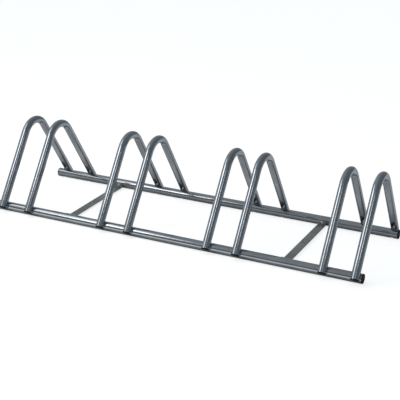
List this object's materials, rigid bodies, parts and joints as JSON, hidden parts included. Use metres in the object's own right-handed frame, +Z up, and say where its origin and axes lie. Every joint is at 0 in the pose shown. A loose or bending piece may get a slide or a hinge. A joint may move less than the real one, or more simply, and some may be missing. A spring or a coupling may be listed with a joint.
{
  "type": "floor bike rack",
  "caption": "Low free-standing bicycle parking rack: two round floor rails carrying pairs of inverted-V tube hoops that hold a front wheel between them.",
  "frame": {"origin": "on the floor, in the middle of the rack between the two rails", "axes": "+X along the rails, +Y from the front rail to the rear rail, +Z up"},
  "size_m": [1.188, 0.4036, 0.2599],
  "materials": {
    "bright_zinc": "bright zinc-plated steel tube, smooth and glossy",
    "dull_zinc": "zinc-plated flat steel, satin and slightly duller",
    "zinc_hardware": "bright zinc-plated fasteners",
    "black_plastic": "black moulded plastic, fine grain"
  },
  "bodies": {
    "root": {"front_rail": "bright_zinc", "rear_rail": "bright_zinc", "front_rail_left_cap": "black_plastic", "front_rail_right_cap": "black_plastic", "rear_rail_left_cap": "black_plastic", "rear_rail_right_cap": "black_plastic", "hoop_1": "bright_zinc", "hoop_1_front_plug": "black_plastic", "hoop_1_rear_plug": "black_plastic", "hoop_2": "bright_zinc", "hoop_2_front_plug": "black_plastic", "hoop_2_rear_plug": "black_plastic", "hoop_3": "bright_zinc", "hoop_3_front_plug": "black_plastic", "hoop_3_rear_plug": "black_plastic", "hoop_4": "bright_zinc", "hoop_4_front_plug": "black_plastic", "hoop_4_rear_plug": "black_plastic", "hoop_5": "bright_zinc", "hoop_5_front_plug": "black_plastic", "hoop_5_rear_plug": "black_plastic", "hoop_6": "bright_zinc", "hoop_6_front_plug": "black_plastic", "hoop_6_rear_plug": "black_plastic", "hoop_7": "bright_zinc", "hoop_7_front_plug": "black_plastic", "hoop_7_rear_plug": "black_plastic", "hoop_8": "bright_zinc", "hoop_8_front_plug": "black_plastic", "hoop_8_rear_plug": "black_plastic", "left_cross_bar": "dull_zinc", "right_cross_bar": "dull_zinc", "hoop_clamp_bolts": "zinc_hardware", "hoop_dome_nuts": "zinc_hardware", "cross_bar_screws": "zinc_hardware", "cross_bar_inserts": "zinc_hardware"}
  },
  "joints": []
}
